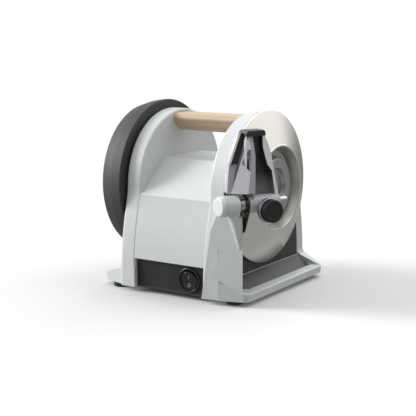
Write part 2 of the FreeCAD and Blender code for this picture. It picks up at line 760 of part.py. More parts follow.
def guide_frame():
    """Die-cast guide: hub, slanting ribs, window facet, ridge and knob boss."""
    hub = hinge_rod(HUB_A[0], HUB_A[1], HUB_R)
    plate = guide_slab([(16.6, 94.0), (16.6, 154.0), (29.0, 154.0), (33.0, 137.0), (37.0, 127.0),
                        (40.5, 118.0), (46.2, 94.0)], 6.5, 9.3)
    right_rib = guide_slab([(28.1, 154.0), (30.4, 154.0), (35.0, 145.5), (38.0, 137.5), (41.4, 121.5),
                            (44.0, 110.0), (46.8, 98.5), (46.2, 94.0), (43.2, 94.0), (43.0, 98.5),
                            (39.0, 121.0), (34.0, 127.0), (31.3, 134.5), (28.6, 144.0)], 6.5, 17.0)
    left_rib = guide_slab([(5.0, 154.0), (-4.3, 130.0), (-6.6, 101.8), (-1.0, 101.8),
                           (4.4, 130.0), (12.0, 154.0)], 6.5, 10.6)
    back_web = guide_slab([(-6.6, 101.8), (17.0, 101.8), (17.0, 104.8), (13.6, 104.8),
                           (13.6, 152.0), (9.0, 152.0), (-5.0, 110.0)], 6.5, 8.3)
    strip = guide_slab([(10.0, 101.8), (12.2, 120.0), (13.6, 140.0), (12.2, 154.0), (17.8, 154.0),
                        (17.8, 97.5), (16.6, 97.5), (16.6, 101.8)], 6.5, 30.0)
    strip = strip.common(ridge_limits(0.0)).cut(ridge_limits(RIDGE_WALL))
    web = guide_slab([(16.6, 97.5), (16.6, 154.0), (17.8, 154.0), (17.8, 97.5)], 6.5, 30.0)
    ridge = joined([strip, web.common(ridge_limits(0.0))])
    sill = guide_slab([(16.6, 94.0), (16.6, 98.5), (46.8, 98.5), (46.4, 94.0)], 6.5, 17.0)
    knob_boss = knob_rod(GUIDE_AXIS_D, COLLAR_D[0] - 0.2, 5.8)
    body = joined([hub, plate, right_rib, left_rib, back_web, ridge, guide_facet(), sill, knob_boss])
    window = [(10.4, 142.7), (6.8, 129.1), (12.3, 122.1), (14.2, 141.6)]
    body = body.cut(guide_slab(window, 12.0, 40.0))
    body = body.cut(hinge_rod(HUB_A[0] - 1, HUB_A[1] + 3, GUIDE_SHAFT_R + RUN_GAP))
    body = body.cut(knob_rod(17.4, 30.0, 3.0 + RUN_GAP))
    return at_guide(body)


def guide_saddle():
    """Black plastic saddle over the guide's head, with the two knife pads."""
    top = guide_slab([(8.6, 154.2), (8.9, 157.0), (10.2, 159.0), (12.4, 159.7), (27.4, 159.7),
                      (29.2, 158.8), (29.9, 157.2), (30.4, 154.2)], 6.5, 19.0)
    top = top.makeFillet(1.5, edges_at(top, lambda b: b.ZMin > 159.6 and b.XLength < 0.01))
    left_pad = guide_slab([(6.2, 157.0), (5.0, 154.4), (-5.0, 128.9), (4.0, 128.9),
                           (12.4, 154.4), (12.4, 157.0)], 10.8, 14.0)
    left_pad = left_pad.cut(guide_slab([(8.4, 158.0), (-3.2, 128.0), (20.0, 128.0), (20.0, 158.0)],
                                       12.4, 15.0))
    right_flap = guide_slab([(18.0, 154.4), (18.0, 138.6), (29.4, 137.6), (28.0, 144.5),
                             (27.6, 154.4)], 9.5, 12.6)
    return at_guide(joined([top, left_pad, right_flap]))


def guide_foot_pad():
    pad = guide_slab([(-7.6, 100.3), (-7.6, 103.4), (-6.7, 103.4), (-6.7, 101.6),
                      (-3.8, 101.6), (-3.8, 100.3)], 6.5, 9.3)
    return at_guide(pad)


def scale_plate():
    """Small scale behind the window, fixed to the back of the ridge."""
    plate = guide_slab([(15.9, 124.0), (15.9, 139.0), (16.6, 139.0), (16.6, 124.0)], 9.4, 17.4)
    return at_guide(plate)


def knob_collar():
    d0, d1 = COLLAR_D
    ring = knob_rod(d0, d1, KNOB_R + 0.85)
    ring = ring.makeFillet(0.8, edges_at(ring, lambda b: b.XMin > d1 - 0.1))
    return at_guide(ring.cut(knob_rod(d0 - 1, d1 + 1, 3.0 + RUN_GAP)))


def angle_knob():
    """Ribbed knob that sets the guide's angle."""
    d0, d1 = KNOB_D
    knob = knob_rod(d0, d1, KNOB_R)
    knob = knob.makeFillet(1.2, edges_at(knob, lambda b: b.XMin > d1 - 0.1))
    for index in range(KNOB_FLUTES):
        turn = 2 * math.pi * index / KNOB_FLUTES
        a = KNOB_A + (KNOB_R + FLUTE_OUT) * math.cos(turn)
        z = KNOB_Z + (KNOB_R + FLUTE_OUT) * math.sin(turn)
        knob = knob.cut(Part.makeCylinder(FLUTE_R, 20, Vector(d0 - 1, a, z), Vector(1, 0, 0)))
    return at_guide(knob)


def knob_screw():
    return at_guide(knob_rod(17.8, KNOB_D[0], 3.0))


NODES = {
    "left_frame": left_frame,
    "right_frame": right_frame,
    "guide_base": guide_base,
    "centre_hood": centre_hood,
    "front_panel": front_panel,
    "rear_panel": rear_panel,
    "base_plate": base_plate,
    "splash_plate": splash_plate,
    "inner_plate": inner_plate,
    "dust_tray": dust_tray,
    "carry_handle": carry_handle,
    "handle_screws": handle_screws,
    "feet": feet,
    "foot_screws": foot_screws,
    "switch_bezel": switch_bezel,
    "rocker_key": rocker_key,
    "power_inlet": power_inlet,
    "inlet_pins": inlet_pins,
    "control_board": control_board,
    "spindle": spindle,
    "diamond_wheel": diamond_wheel,
    "wheel_flange": wheel_flange,
    "wheel_lock_nut": wheel_lock_nut,
    "honing_wheel": honing_wheel,
    "honing_flanges": honing_flanges,
    "honing_nut": honing_nut,
    "bearing_left": bearing_left,
    "bearing_right": bearing_right,
    "output_gear": output_gear,
    "layshaft": layshaft,
    "layshaft_pinion": layshaft_pinion,
    "layshaft_gear": layshaft_gear,
    "layshaft_bushes": layshaft_bushes,
    "motor_pinion": motor_pinion,
    "motor_rotor": motor_rotor,
    "motor_can": motor_can,
    "motor_magnets": motor_magnets,
    "motor_end_cap": motor_end_cap,
    "gearbox_plate_left": gearbox_plate_left,
    "gearbox_plate_right": gearbox_plate_right,
    "gearbox_pillars": gearbox_pillars,
    "guide_shaft": guide_shaft,
    "shaft_cap": shaft_cap,
    "thrust_washers": thrust_washers,
    "shaft_nut": shaft_nut,
    "angle_pointer": angle_pointer,
    "guide_frame": guide_frame,
    "guide_saddle": guide_saddle,
    "guide_foot_pad": guide_foot_pad,
    "scale_plate": scale_plate,
    "knob_collar": knob_collar,
    "angle_knob": angle_knob,
    "knob_screw": knob_screw,
}


def footprint_shift(shapes):
    """The move that puts the origin at the footprint's centre, on the soles of the feet."""
    bounds = FreeCAD.BoundBox()
    for shape in shapes.values():
        bounds.add(shape.optimalBoundingBox())
    return Vector(
        -(bounds.XMin + bounds.XMax) / 2.0, -(bounds.YMin + bounds.YMax) / 2.0, -bounds.ZMin
    )


def main():
    os.makedirs("parts", exist_ok=True)
    shapes = {name: make() for name, make in NODES.items()}
    shift = footprint_shift(shapes)
    print("shift", round(shift.x, 4), round(shift.y, 4), round(shift.z, 4))
    for name, shape in shapes.items():
        shape.translate(shift)
        shape.exportStep(os.path.join("parts", name + ".step"))
        print(name, "solids", len(shape.Solids), "valid", shape.isValid(),
              "volume", round(shape.Volume, 1))


if __name__ == "__main__":
    main()
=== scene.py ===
"""Looks for a bench knife sharpener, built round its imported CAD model.

The CAD nodes carry the castings, sheets, shafts and gears.  The turned, moulded and
wooden pieces that catch the eye are rebuilt here as finer meshes in the same places,
and every piece gets a procedural finish.  Lengths are metres, in the CAD frame: +X
along the spindle towards the diamond wheel, -Y towards the switch, +Z up.
"""

import json
import logging
import math
from dataclasses import dataclass
from enum import Enum
from typing import Any, Mapping, Sequence

import bmesh
import bpy
from mathutils import Matrix, Vector

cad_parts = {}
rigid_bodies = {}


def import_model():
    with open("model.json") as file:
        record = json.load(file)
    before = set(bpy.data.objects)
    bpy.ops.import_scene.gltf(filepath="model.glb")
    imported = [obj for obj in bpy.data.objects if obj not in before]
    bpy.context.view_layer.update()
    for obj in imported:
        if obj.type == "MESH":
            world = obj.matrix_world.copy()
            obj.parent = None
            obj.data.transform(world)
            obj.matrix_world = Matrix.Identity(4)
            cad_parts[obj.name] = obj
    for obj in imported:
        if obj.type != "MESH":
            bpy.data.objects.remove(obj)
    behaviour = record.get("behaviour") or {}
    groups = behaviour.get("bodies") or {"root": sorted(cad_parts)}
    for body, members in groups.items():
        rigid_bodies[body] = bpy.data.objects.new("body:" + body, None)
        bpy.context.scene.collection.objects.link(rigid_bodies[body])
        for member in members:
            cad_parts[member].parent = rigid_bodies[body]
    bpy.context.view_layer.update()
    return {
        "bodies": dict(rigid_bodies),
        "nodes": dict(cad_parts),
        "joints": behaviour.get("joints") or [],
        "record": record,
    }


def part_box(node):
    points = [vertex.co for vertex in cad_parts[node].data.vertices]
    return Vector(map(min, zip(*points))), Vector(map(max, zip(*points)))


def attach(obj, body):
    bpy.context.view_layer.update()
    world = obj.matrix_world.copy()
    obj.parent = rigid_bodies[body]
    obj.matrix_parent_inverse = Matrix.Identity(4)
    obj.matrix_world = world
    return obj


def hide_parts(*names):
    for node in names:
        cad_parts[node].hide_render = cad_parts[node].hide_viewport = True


LOG = logging.getLogger("sharpener")
MM = 0.001
POLE = 0.02
SENSOR_WIDTH = 36.0

Colour = tuple[float, float, float]
Point2 = tuple[float, float]
Point3 = tuple[float, float, float]
Stops = Sequence[tuple[float, Colour]]


def rgba(colour: Colour) -> tuple[float, float, float, float]:
    """The colour with an alpha of one."""
    return (*colour, 1.0)


def scaled(colour: Colour, factor: float) -> Colour:
    """The colour made lighter or darker by a factor."""
    return tuple(channel * factor for channel in colour)


# --- shader language -----------------------------------------------------------------
class Wire:
    """A shader socket that takes part in arithmetic; each operator adds a Math node."""

    def __init__(self, shader: "Shader", socket: bpy.types.NodeSocket) -> None:
        """Wraps a socket.

        Args:
            shader: The shader whose tree holds the socket.
            socket: The output socket to wrap.
        """
        self.shader = shader
        self.socket = socket

    def _maths(self, operation: str, first: Any, second: Any) -> "Wire":
        """Adds one Math node.

        Args:
            operation: The Math node's operation.
            first: Its first value or link.
            second: Its second value or link.

        Returns:
            The node's result.
        """
        return self.shader.add("ShaderNodeMath", {"operation": operation}, {0: first, 1: second})

    def __add__(self, other: Any) -> "Wire":
        """Sum."""
        return self._maths("ADD", self, other)

    __radd__ = __add__

    def __sub__(self, other: Any) -> "Wire":
        """Difference."""
        return self._maths("SUBTRACT", self, other)

    def __rsub__(self, other: Any) -> "Wire":
        """Reflected difference."""
        return self._maths("SUBTRACT", other, self)

    def __mul__(self, other: Any) -> "Wire":
        """Product."""
        return self._maths("MULTIPLY", self, other)

    __rmul__ = __mul__

    def __truediv__(self, other: Any) -> "Wire":
        """Quotient."""
        return self._maths("DIVIDE", self, other)

    def __pow__(self, other: Any) -> "Wire":
        """Power."""
        return self._maths("POWER", self, other)

    def above(self, limit: float) -> "Wire":
        """One where the value is greater than the limit, else zero."""
        return self._maths("GREATER_THAN", self, limit)


class Shader:
    """The node tree of one material, or of the world."""

    def __init__(self, owner: bpy.types.Material | bpy.types.World) -> None:
        """Empties the owner's node tree.

        Args:
            owner: The material or world that the nodes belong to.
        """
        self.owner = owner
        owner.use_nodes = True
        self.tree = owner.node_tree
        self.tree.nodes.clear()

    @classmethod
    def material(cls, name: str) -> "Shader":
        """Starts a new material.

        Args:
            name: The material's name.

        Returns:
            Its shader.
        """
        return cls(bpy.data.materials.new(name))

    def add(
        self,
        kind: str,
        settings: Mapping[str, Any] | None = None,
        sockets: Mapping[Any, Any] | None = None,
        output: int | str = 0,
    ) -> Wire:
        """Adds a node, sets it up and wires it.

        Args:
            kind: The node's type.
            settings: Its attributes; "stops" fills a colour ramp.
            sockets: Values or wires for its input sockets, by name or index.
            output: The output socket to return.

        Returns:
            The chosen output socket as a wire.
        """
        node = self.tree.nodes.new(kind)
        for key, value in (settings or {}).items():
            if key == "stops":
                self._fill_ramp(node.color_ramp, value)
            else:
                setattr(node, key, value)
        for key, value in (sockets or {}).items():
            if isinstance(value, Wire):
                self.tree.links.new(value.socket, node.inputs[key])
            else:
                node.inputs[key].default_value = value
        return Wire(self, node.outputs[output] if node.outputs else None)

    @staticmethod
    def _fill_ramp(ramp: bpy.types.ColorRamp, stops: Stops) -> None:
        """Puts the stops on a colour ramp.

        Args:
            ramp: The ramp to fill.
            stops: Pairs of position and colour, in order.
        """
        while len(ramp.elements) < len(stops):
            ramp.elements.new(0.5)
        for element, (place, colour) in zip(ramp.elements, stops):
            element.position = place
            element.color = rgba(colour)

    def place(self) -> Wire:
        """The point being shaded, in the row frame at rest."""
        return self.add("ShaderNodeTexCoord", output="Object")

    def split(self, vector: Wire) -> tuple[Wire, Wire, Wire]:
        """The vector's three parts."""
        node = self.add("ShaderNodeSeparateXYZ", sockets={0: vector}).socket.node
        return tuple(Wire(self, socket) for socket in node.outputs)

    def join(self, x: Any, y: Any, z: Any) -> Wire:
        """A vector from three values."""
        return self.add("ShaderNodeCombineXYZ", sockets={0: x, 1: y, 2: z})

    def noise(self, vector: Wire, scale: float, detail: float = 3.0, rough: float = 0.5) -> Wire:
        """Fractal noise from 0 to 1.

        Args:
            vector: Where to sample it.
            scale: Its frequency, in cycles per metre.
            detail: Its number of octaves.
            rough: How strong the finer octaves are.

        Returns:
            The noise value.
        """
        sockets = {"Vector": vector, "Scale": scale, "Detail": detail, "Roughness": rough}
        return self.add("ShaderNodeTexNoise", sockets=sockets)

    def ramp(self, factor: Wire, stops: Stops) -> Wire:
        """A colour ramp over a factor."""
        return self.add("ShaderNodeValToRGB", {"stops": stops}, {0: factor})

    def blend(self, factor: Any, first: Any, second: Any) -> Wire:
        """Mixes two colours.

        Args:
            factor: 0 gives the first colour and 1 the second.
            first: A colour or wire.
            second: A colour or wire.

        Returns:
            The mixed colour.
        """
        node = self.tree.nodes.new("ShaderNodeMix")
        node.data_type = "RGBA"
        for index, value in ((0, factor), (6, first), (7, second)):
            if isinstance(value, Wire):
                self.tree.links.new(value.socket, node.inputs[index])
            elif index:
                node.inputs[index].default_value = rgba(value)
            else:
                node.inputs[index].default_value = value
        return Wire(self, node.outputs[2])

    def bump(self, height: Wire, depth: float, strength: float = 1.0) -> Wire:
        """A bumped normal.

        Args:
            height: Height from 0 to 1.
            depth: The height's real size, in metres.
            strength: How much of the bump shows.

        Returns:
            The normal.
        """
        sockets = {"Height": height, "Distance": depth, "Strength": strength}
        return self.add("ShaderNodeBump", sockets=sockets, output="Normal")

    def finish(self, sockets: Mapping[str, Any]) -> bpy.types.Material:
        """Closes the tree with a Principled surface.

        Args:
            sockets: Values or wires for the Principled shader.

        Returns:
            The finished material.
        """
        surface = self.add("ShaderNodeBsdfPrincipled", sockets=sockets, output="BSDF")
        self.add("ShaderNodeOutputMaterial", sockets={"Surface": surface})
        return self.owner


# --- finishes ------------------------------------------------------------------------
@dataclass(frozen=True)
class PowderCoat:
    """Baked powder paint on a casting: nearly even colour, faint orange peel."""

    colour: Colour = (0.61, 0.63, 0.632)
    shade: float = 0.97
    roughness: float = 0.40
    peel: float = 520.0
    depth: float = 0.00004

    def build(self, name: str) -> bpy.types.Material:
        """Makes the material.

        Args:
            name: The material's name.

        Returns:
            The material.
        """
        shader = Shader.material(name)
        place = shader.place()
        cloud = shader.noise(place, 22.0, 4.0)
        colour = shader.ramp(cloud, [(0.3, scaled(self.colour, self.shade)), (0.7, self.colour)])
        peel = shader.noise(place, self.peel, 2.0, 0.4)
        grain = shader.noise(place, self.peel * 6.0, 2.0, 0.6)
        normal = shader.bump(peel * 0.8 + grain * 0.2, self.depth, 0.5)
        return shader.finish({
            "Base Color": colour,
            "Roughness": peel * 0.10 + (self.roughness - 0.05),
            "Coat Weight": 0.12,
            "Coat Roughness": 0.25,
            "Normal": normal,
        })


@dataclass(frozen=True)
class RecessPaintedShade:
    """Dark paint with painted shade for a recess, grading to a paler painted lit tone towards its bottom."""

    low: float
    high: float
    painted_lit: Colour = (0.30, 0.30, 0.315)
    dark: Colour = (0.032, 0.032, 0.034)
    roughness: float = 0.42

    def build(self, name: str) -> bpy.types.Material:
        """Makes the material.

        Args:
            name: The material's name.

        Returns:
            The material.
        """
        shader = Shader.material(name)
        place = shader.place()
        height = shader.split(place)[2]
        cloud = shader.noise(place, 90.0, 4.0, 0.6)
        climb = (height - self.low) / (self.high - self.low)
        # painted shade: darkest high in the recess, paler where painted light falls at its bottom
        colour = shader.ramp(climb + (cloud - 0.5) * 0.12, [(0.0, self.painted_lit), (1.0, self.dark)])
        return shader.finish({
            "Base Color": colour,
            "Roughness": cloud * 0.12 + (self.roughness - 0.06),
            "Normal": shader.bump(shader.noise(place, 1800.0, 2.0), 0.00002, 0.5),
        })


@dataclass(frozen=True)
class Moulded:
    """Moulded plastic or rubber with a fine grain."""

    colour: Colour = (0.022, 0.023, 0.024)
    roughness: float = 0.42
    grain: float = 2400.0
    depth: float = 0.00003
    dust: float = 0.25

    def build(self, name: str) -> bpy.types.Material:
        """Makes the material.

        Args:
            name: The material's name.

        Returns:
            The material.
        """
        shader = Shader.material(name)
        place = shader.place()
        cloud = shader.noise(place, 60.0, 5.0, 0.6)
        light = scaled(self.colour, 1.0 + self.dust)
        colour = shader.ramp(cloud, [(0.35, self.colour), (0.75, light)])
        grain = shader.noise(place, self.grain, 3.0, 0.7)
        return shader.finish({
            "Base Color": colour,
            "Roughness": cloud * 0.12 + (self.roughness - 0.06),
            "Normal": shader.bump(grain, self.depth, 0.6),
        })


@dataclass(frozen=True)
class Turned:
    """Metal or compound faced on a lathe: fine rings round an axis along X."""

    centre: Vector
    colour: Colour = (0.70, 0.68, 0.62)
    metallic: float = 1.0
    roughness: float = 0.30
    ring: float = 900.0
    depth: float = 0.00002
    speckle: float = 1600.0
    contrast: float = 0.08

    def build(self, name: str) -> bpy.types.Material:
        """Makes the material.

        Args:
            name: The material's name.

        Returns:
            The material.
        """
        shader = Shader.material(name)
        place = shader.place()
        x, y, z = shader.split(place)
        across = y - self.centre.y
        up = z - self.centre.z
        radius = (across * across + up * up) ** 0.5
        lathe = shader.join(radius * self.ring, x * self.ring, 0.0)
        rings = shader.noise(lathe, 1.0, 4.0, 0.65)
        grit = shader.noise(place, self.speckle, 2.0, 0.6)
        dark = scaled(self.colour, 1.0 - self.contrast)
        light = scaled(self.colour, 1.0 + self.contrast)
        colour = shader.ramp(rings * 0.7 + grit * 0.3, [(0.3, dark), (0.7, light)])
        return shader.finish({
            "Base Color": colour,
            "Metallic": self.metallic,
            "Roughness": rings * 0.12 + (self.roughness - 0.06),
            "Normal": shader.bump(rings * 0.7 + grit * 0.3, self.depth, 0.7),
        })


@dataclass(frozen=True)
class CastMetal:
    """Blasted or ground metal with a fine even tooth."""

    colour: Colour = (0.60, 0.61, 0.62)
    metallic: float = 1.0
    roughness: float = 0.40
    tooth: float = 1500.0
    depth: float = 0.00003

    def build(self, name: str) -> bpy.types.Material:
        """Makes the material.

        Args:
            name: The material's name.

        Returns:
            The material.
        """
        shader = Shader.material(name)
        place = shader.place()
        cloud = shader.noise(place, 45.0, 4.0, 0.6)
        tooth = shader.noise(place, self.tooth, 3.0, 0.7)
        stops = [(0.3, scaled(self.colour, 0.88)), (0.7, self.colour)]
        return shader.finish({
            "Base Color": shader.ramp(cloud, stops),
            "Metallic": self.metallic,
            "Roughness": cloud * 0.14 + (self.roughness - 0.07),
            "Normal": shader.bump(tooth, self.depth, 0.5),
        })


@dataclass(frozen=True)
class Beech:
    """Oiled beech with its grain along X and the short darker flecks of its rays."""

    pale: Colour = (0.58, 0.44, 0.305)
    warm: Colour = (0.49, 0.35, 0.23)
    fleck: Colour = (0.32, 0.21, 0.13)
    roughness: float = 0.44

    def build(self, name: str) -> bpy.types.Material:
        """Makes the material.

        Args:
            name: The material's name.

        Returns:
            The material.
        """
        shader = Shader.material(name)
        x, y, z = shader.split(shader.place())
        long = shader.join(x * 14.0, y * 260.0, z * 260.0)
        bands = shader.noise(long, 1.0, 5.0, 0.6)
        streak = shader.noise(shader.join(x * 60.0, y * 1500.0, z * 1500.0), 1.0, 3.0, 0.6)
        rays = shader.noise(shader.join(x * 420.0, y * 2600.0, z * 2600.0), 1.0, 1.0, 0.4)
        wood = shader.ramp(bands * 0.65 + streak * 0.35, [(0.32, self.warm), (0.66, self.pale)])
        flecked = shader.blend(rays.above(0.66) * 0.35, wood, self.fleck)
        return shader.finish({
            "Base Color": flecked,
            "Roughness": streak * 0.16 + (self.roughness - 0.08),
            "Coat Weight": 0.08,
            "Coat Roughness": 0.3,
            "Normal": shader.bump(streak, 0.00004, 0.5),
        })


# --- mesh building -------------------------------------------------------------------
class Body(str, Enum):
    """The CAD bodies that new pieces ride on."""

    HOUSING = "housing"
    SPINDLE = "spindle_set"
    ROCKER = "rocker"
    GUIDE = "knife_guide"
    KNOB = "knob_set"


def rounded(points: Sequence[Point2], radii: Sequence[float], steps: int = 5) -> list[Point2]:
    """Rounds the corners of a closed outline.

    Args:
        points: The outline's corners.
        radii: One radius for each corner; zero leaves it sharp.
        steps: Divisions of each round.

    Returns:
        The outline with its rounds as short runs.
    """
    result: list[Point2] = []
    for index, (corner, radius) in enumerate(zip(points, radii)):
        here = Vector(corner)
        before = Vector(points[index - 1]) - here
        after = Vector(points[(index + 1) % len(points)]) - here
        if radius <= 0.0:
            result.append(corner)
            continue
        half = before.angle(after) / 2.0
        reach = min(radius / math.tan(half), before.length * 0.49, after.length * 0.49)
        start = here + before.normalized() * reach
        end = here + after.normalized() * reach
        for step in range(steps + 1):
            share = step / steps
            bent = start * (1 - share) ** 2 + here * 2 * share * (1 - share) + end * share ** 2
            result.append((bent.x, bent.y))
    return result


@dataclass(frozen=True)
class Ribs:
    """Flutes round a turned part."""

    count: int
    depth: float
    least_radius: float

    def cut(self, radius: float, turn: float) -> float:
        """How far a flute lowers the surface.

        Args:
            radius: The surface's radius before cutting.
            turn: The angle round the axis.

        Returns:
            The radius after cutting.
        """
        if radius < self.least_radius:
            return radius
        wave = 0.5 + 0.5 * math.cos(self.count * turn)
        return radius - self.depth * wave ** 2


def axle_basis(origin: Vector, along: Vector) -> Matrix:
    """A matrix from local axes, with X along a direction and Z upward, to the row frame.

    Args:
        origin: Where the local origin goes.
        along: The direction of local X.

    Returns:
        The matrix.
    """
    forward = along.normalized()
    side = Vector((0.0, 0.0, 1.0)).cross(forward).normalized()
    matrix = Matrix((forward, side, forward.cross(side))).transposed().to_4x4()
    matrix.translation = origin
    return matrix


def lathe(
    profile: Sequence[Point2], segments: int, basis: Matrix,
    bands: Sequence[int] = (), ribs: Ribs | None = None,
) -> bmesh.types.BMesh:
    """Revolves a closed profile.

    Args:
        profile: Pairs of place along the axis and radius, in millimetres.
        segments: Divisions round the axis.
        basis: Puts the lathe's axis, local X, into the row frame.
        bands: The material index of the band that starts at each profile point.
        ribs: Flutes to cut.

    Returns:
        The geometry.
    """
    shape = bmesh.new()
    rings = []
    for index in range(segments):
        turn = 2.0 * math.pi * index / segments
        ring = []
        for x, radius in profile:
            reach = ribs.cut(radius, turn) if ribs else radius
            spot = Vector((x, reach * math.cos(turn), reach * math.sin(turn))) * MM
            ring.append(shape.verts.new(basis @ spot))
        rings.append(ring)
    for index, ring in enumerate(rings):
        following = rings[(index + 1) % segments]
        for spot in range(len(profile)):
            other = (spot + 1) % len(profile)
            face = shape.faces.new((ring[spot], ring[other], following[other], following[spot]))
            face.material_index = bands[spot] if bands else 0
    bmesh.ops.remove_doubles(shape, verts=shape.verts, dist=POLE * MM)
    return shape


def loft(sections: Sequence[Sequence[Vector]]) -> bmesh.types.BMesh:
    """Skins closed sections in order and caps both ends.

    Args:
        sections: Rings of points with equal counts, in the row frame.

    Returns:
        The geometry.
    """
    shape = bmesh.new()
    rings = [[shape.verts.new(point) for point in section] for section in sections]
    for first, second in zip(rings, rings[1:]):
        for spot in range(len(first)):
            other = (spot + 1) % len(first)
            shape.faces.new((first[spot], first[other], second[other], second[spot]))
    shape.faces.new(rings[0])
    shape.faces.new(rings[-1])
    return shape


def softened(source: bpy.types.Object, width: float, limit: float = 24.0) -> bmesh.types.BMesh:
    """A copy of a CAD node's shape with its sharp edges rounded over.

    Args:
        source: The CAD node's object.
        width: Size of the rounding, in millimetres.
        limit: Edges that turn by more than this many degrees are rounded.

    Returns:
        The geometry.
    """
    shape = bmesh.new()
    shape.from_mesh(source.data)
    bmesh.ops.remove_doubles(shape, verts=shape.verts, dist=2e-6)
    bmesh.ops.dissolve_limit(
        shape, angle_limit=math.radians(0.5), verts=shape.verts, edges=shape.edges
    )
    sharp = [
        edge for edge in shape.edges
        if len(edge.link_faces) == 2 and edge.calc_face_angle(0.0) > math.radians(limit)
    ]
    bmesh.ops.bevel(
        shape, geom=sharp, offset=width * MM, offset_type="OFFSET", segments=3, profile=0.5,
        affect="EDGES", clamp_overlap=True,
    )
    return shape


# --- sub-assemblies ------------------------------------------------------------------
@dataclass
class Assembly:
    """A group of pieces that share finishes and report themselves."""

    frame: Mapping[str, Any]
    finishes: Mapping[str, bpy.types.Material]

    SMOOTH = math.radians(35.0)

    def node(self, name: str) -> bpy.types.Object:
        """A CAD node's object."""
        return self.frame["nodes"][name]

    def dress(self, nodes: Mapping[str, str]) -> None:
        """Gives CAD nodes their finish.

        Args:
            nodes: The finish for each CAD node.
        """
        for name, finish in nodes.items():
            materials = self.node(name).data.materials
            if not materials:
                materials.append(self.finishes[finish])
            for index in range(len(materials)):
                materials[index] = self.finishes[finish]
            LOG.info("%s: %s dressed in %s", type(self).__name__, name, finish)

    def place(
        self, name: str, shape: bmesh.types.BMesh, body: Body, slot: str,
        finishes: Sequence[str], stands_for: str = "", weighted: bool = False,
    ) -> bpy.types.Object:
        """Turns a shape into a placed, dressed piece.

        Args:
            name: The piece's name.
            shape: The geometry, in the row frame, in metres.
            body: The CAD body it rides on.
            slot: Not used.
            finishes: Its finishes, in the order of its faces' material indices.
            stands_for: The CAD node it takes the place of, if any.
            weighted: Whether its flat faces keep flat shading beside their rounds.

        Returns:
            The new object.
        """
        bmesh.ops.recalc_face_normals(shape, faces=shape.faces)
        mesh = bpy.data.meshes.new(name)
        shape.to_mesh(mesh)
        shape.free()
        mesh.shade_smooth()
        mesh.set_sharp_from_angle(angle=self.SMOOTH)
        piece = bpy.data.objects.new(name, mesh)
        bpy.context.scene.collection.objects.link(piece)
        for finish in finishes:
            mesh.materials.append(self.finishes[finish])
        if weighted:
            normals = piece.modifiers.new("flat_faces", "WEIGHTED_NORMAL")
            normals.keep_sharp = True
        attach(piece, body.value)
        if stands_for:
            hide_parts(stands_for)
        LOG.info("%s: %s built, %d faces", type(self).__name__, name, len(mesh.polygons))
        return piece

    def soften(
        self, node: str, width: float, body: Body, slot: str, finish: str
    ) -> bpy.types.Object:
        """Replaces a CAD node by the same shape with rounded edges.

        Args:
            node: The CAD node.
            width: Size of the rounding, in millimetres.
            body: The CAD body it rides on.
            slot: The record's material slot.
            finish: Its finish.

        Returns:
            The new object.
        """
        shape = softened(self.node(node), width)
        return self.place(node + "_cast", shape, body, slot, [finish], node, weighted=True)


@dataclass
class Castings(Assembly):
    """The painted castings, the hood over the drive and the sheets between them."""

    edge: float = 0.7
    lap: float = 2.3

    def build(self) -> None:
        """Rounds over the castings and dresses the sheets."""
        for node in ("left_frame", "right_frame", "guide_base"):
            self.soften(node, self.edge, Body.HOUSING, "white_paint", "white_paint")
        self._hood()
        for node in ("front_panel", "rear_panel"):
            self.soften(node, 0.4, Body.HOUSING, "black_plastic", "panel_plastic")
        self.dress({
            "base_plate": "dark_sheet", "splash_plate": "dark_sheet",
            "inner_plate": "dark_sheet", "dust_tray": "dark_sheet",
        })

    def _hood(self) -> None:
        """Rounds over the hood and laps its ends into the rounds of the cast sides."""
        low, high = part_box("centre_hood")
        middle = (low.x + high.x) / 2.0
        stretch = 1.0 + 2.0 * self.lap * MM / (high.x - low.x)
        shape = softened(self.node("centre_hood"), self.edge)
        for vert in shape.verts:
            vert.co.x = middle + (vert.co.x - middle) * stretch
        self.place(
            "centre_hood_cast", shape, Body.HOUSING, "white_paint", ["white_paint"], "centre_hood",
            weighted=True,
        )


@dataclass
class Feet(Assembly):
    """Rubber feet and the screws up through them."""

    def build(self) -> None:
        """Dresses the feet and their screws."""
        self.dress({"feet": "rubber", "foot_screws": "steel"})


@dataclass
class Handle(Assembly):
    """The beech bar between the two arches and its screws."""

    half_section: tuple[Point2, ...] = ((-13.0, 0.0), (-17.4, -4.4), (-11.6, -12.2), (-4.6, -17.7))
    rounds: tuple[float, ...] = (5.0, 3.6, 6.0, 4.6)
    swell: float = 0.35
    stations: int = 25

    def build(self) -> None:
        """Skins the bar from one arch to the other, a touch fuller in the middle."""
        low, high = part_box("carry_handle")
        middle = (low.y + high.y) / 2.0
        mirrored = [(-y, z) for y, z in reversed(self.half_section)]
        radii = [*self.rounds, *reversed(self.rounds)]
        outline = rounded([*self.half_section, *mirrored], radii, 8)
        sections = []
        for index in range(self.stations):
            share = index / (self.stations - 1)
            waist = 1.0 - self.swell * MM * 40.0 * (1.0 - math.sin(math.pi * share))
            x = low.x + (high.x - low.x) * share
            section = [
                Vector((x, middle + y * waist * MM, high.z + (z * waist) * MM))
                for y, z in outline
            ]
            sections.append(section)
        bar = loft(sections)
        self.place("beech_grip", bar, Body.HOUSING, "beech", ["beech"], "carry_handle")
        self.dress({"handle_screws": "steel"})


